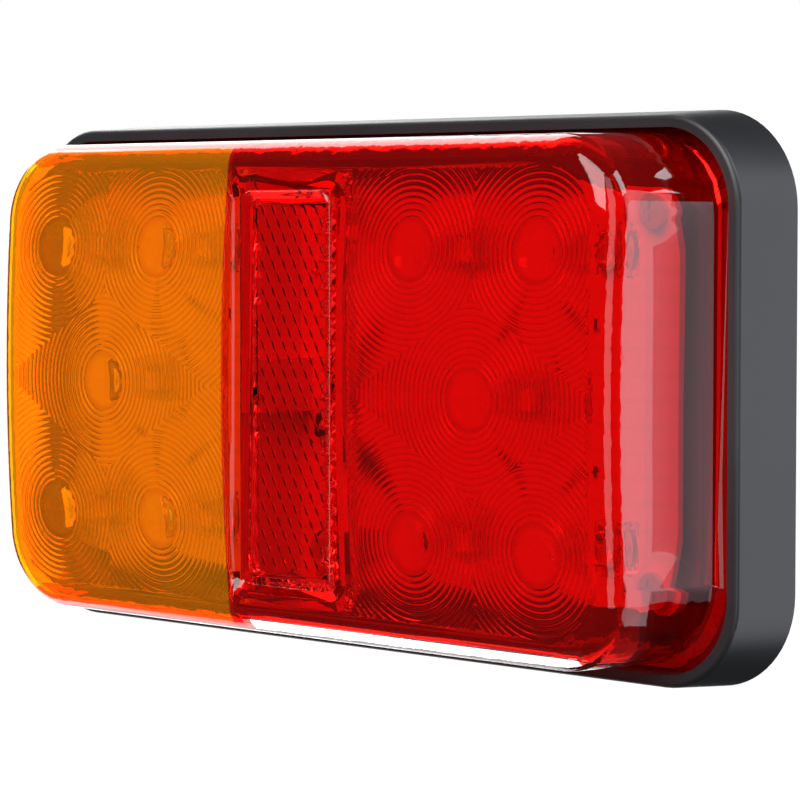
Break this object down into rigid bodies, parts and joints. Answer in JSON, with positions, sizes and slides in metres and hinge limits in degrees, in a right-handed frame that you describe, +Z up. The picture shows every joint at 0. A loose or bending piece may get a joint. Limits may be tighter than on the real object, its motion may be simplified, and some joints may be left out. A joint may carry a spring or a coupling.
{
  "type": "trailer tail light",
  "caption": "Rectangular trailer tail light with red stop and tail zone, amber indicator zone, reflector, number plate window, rear studs and cable gland.",
  "frame": {"origin": "centre of the rear mounting face, midway between the two studs", "axes": "+X along the lamp, towards its red end (to the right seen from the front); +Y out of the back, along the studs, so the lens faces -Y; +Z up"},
  "size_m": [0.15, 0.048, 0.08],
  "materials": {
    "housing_black": "fine moulded satin",
    "lens_red": "transparent, polished",
    "lens_amber": "transparent, polished",
    "lens_clear": "transparent, polished",
    "reflector_red": "transparent with prism cells behind",
    "board_white": "white solder mask",
    "divider_white": "plain moulded",
    "led_epoxy": "clear epoxy",
    "tinned_metal": "tinned",
    "component_black": "moulded epoxy",
    "capacitor_can": "drawn can",
    "zinc_steel": "bright zinc plated",
    "seal_rubber": "soft matt",
    "sealant_grey": "cured bead"
  },
  "bodies": {
    "lamp_body": {"base_housing": "housing_black", "lens_seal": "sealant_grey", "red_lens": "lens_red", "amber_lens": "lens_amber", "plate_lamp_window": "lens_clear", "reflex_reflector": "reflector_red", "circuit_board": "board_white", "light_divider": "divider_white", "red_leds": "led_epoxy", "amber_leds": "led_epoxy", "led_leads": "tinned_metal", "plate_leds": "led_epoxy", "led_resistors": "component_black", "driver_chips": "component_black", "protection_diodes": "component_black", "smoothing_capacitor": "capacitor_can", "wire_lugs": "tinned_metal", "board_screws": "zinc_steel", "cable_grommet": "seal_rubber", "mounting_studs": "zinc_steel", "stud_seals": "seal_rubber"},
    "left_washers": {"left_flat_washer": "zinc_steel", "left_spring_washer": "zinc_steel"},
    "left_nut": {"left_nut": "zinc_steel"},
    "right_washers": {"right_flat_washer": "zinc_steel", "right_spring_washer": "zinc_steel"},
    "right_nut": {"right_nut": "zinc_steel"}
  },
  "joints": [
    {"name": "left_washer_slide", "type": "slide", "parent": "lamp_body", "child": "left_washers", "axis": [0, 1, 0], "range_m": [-0.0042, 0.0164]},
    {"name": "left_nut_turn", "type": "hinge", "parent": "left_washers", "child": "left_nut", "pos_m": [-0.025, 0, 0], "axis": [0, 1, 0], "range_deg": [-1890, 7380]},
    {"name": "right_washer_slide", "type": "slide", "parent": "lamp_body", "child": "right_washers", "axis": [0, 1, 0], "range_m": [-0.0042, 0.0164]},
    {"name": "right_nut_turn", "type": "hinge", "parent": "right_washers", "child": "right_nut", "pos_m": [0.025, 0, 0], "axis": [0, 1, 0], "range_deg": [-1890, 7380]}
  ],
  "couplings": [
    {"joint": "left_nut_turn", "follows": "left_washer_slide", "rad_per_m": 7854},
    {"joint": "right_nut_turn", "follows": "right_washer_slide", "rad_per_m": 7854}
  ]
}
